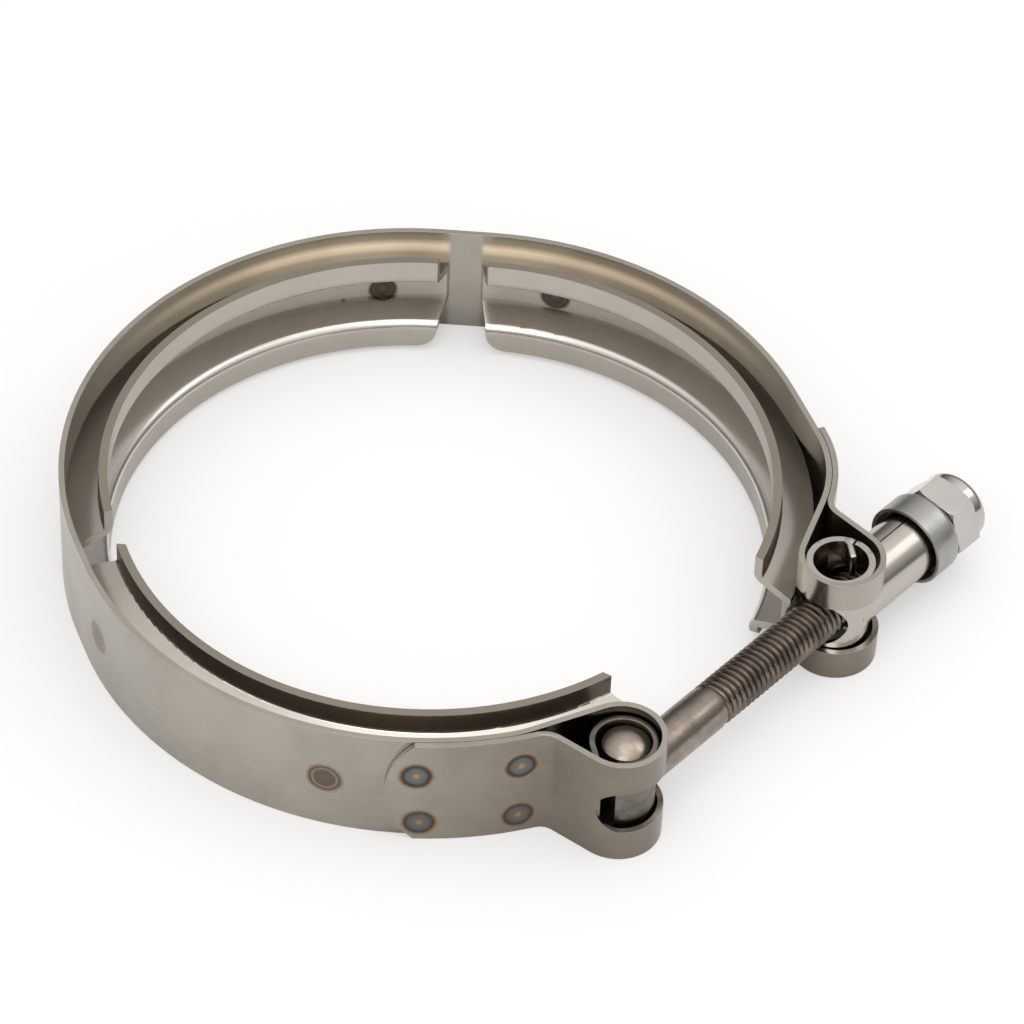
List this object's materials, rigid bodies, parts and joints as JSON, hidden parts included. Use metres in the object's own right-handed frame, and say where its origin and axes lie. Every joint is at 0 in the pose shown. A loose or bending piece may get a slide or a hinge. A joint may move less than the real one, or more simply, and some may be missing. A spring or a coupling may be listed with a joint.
{
  "type": "v band clamp",
  "caption": "V band clamp, folded stainless strip with V-section retainers, drawn together by a T-bolt, trunnion, cup washer and lock nut to join two flanged tubes.",
  "frame": {"origin": "on the axis of the left retainer's groove, at the clamp's mid width", "axes": "+Z along the ring's axis; the clamp lies on its side edge at z = -11 mm; the T-bolt runs in the XY plane towards +X +Y"},
  "size_m": [0.1594, 0.1298, 0.022],
  "materials": {
    "strap": "satin stainless strip with heat-tinted spot welds",
    "retainers": "satin stainless, roll formed",
    "bolt": "dull brown-grey steel, thread crests worn bright",
    "sleeve": "dull rolled stainless",
    "trunnion": "smooth pressed stainless",
    "washer": "matt grey turned steel",
    "nut": "bright plated steel"
  },
  "bodies": {
    "band": {"band_strap": "strap", "retainer_left": "retainers", "retainer_right": "retainers", "retainer_front": "retainers"},
    "t_bolt": {"t_bolt": "bolt", "bolt_sleeve": "sleeve"},
    "trunnion": {"trunnion": "trunnion"},
    "washer": {"cup_washer": "washer"},
    "nut": {"lock_nut": "nut"}
  },
  "joints": [
    {"name": "bolt_play", "type": "hinge", "parent": "band", "child": "t_bolt", "pos_m": [0.03712, -0.06093, 0], "axis": [0, 0, 1], "range_deg": [-0.25, 0.25]},
    {"name": "trunnion_play", "type": "hinge", "parent": "band", "child": "trunnion", "pos_m": [0.07266, -0.01852, 0], "axis": [0, 0, 1], "range_deg": [-0.15, 0.15]},
    {"name": "washer_slide", "type": "slide", "parent": "t_bolt", "child": "washer", "axis": [0.6423, 0.7664, 0], "range_m": [0, 0.0076]},
    {"name": "nut_turn", "type": "hinge", "parent": "washer", "child": "nut", "pos_m": [0.08471, -0.00415, 0], "axis": [0.6423, 0.7664, 0], "range_deg": [0, 2160]}
  ],
  "couplings": [
    {"joint": "washer_slide", "follows": "nut_turn", "m_per_rad": 0.00019894}
  ]
}
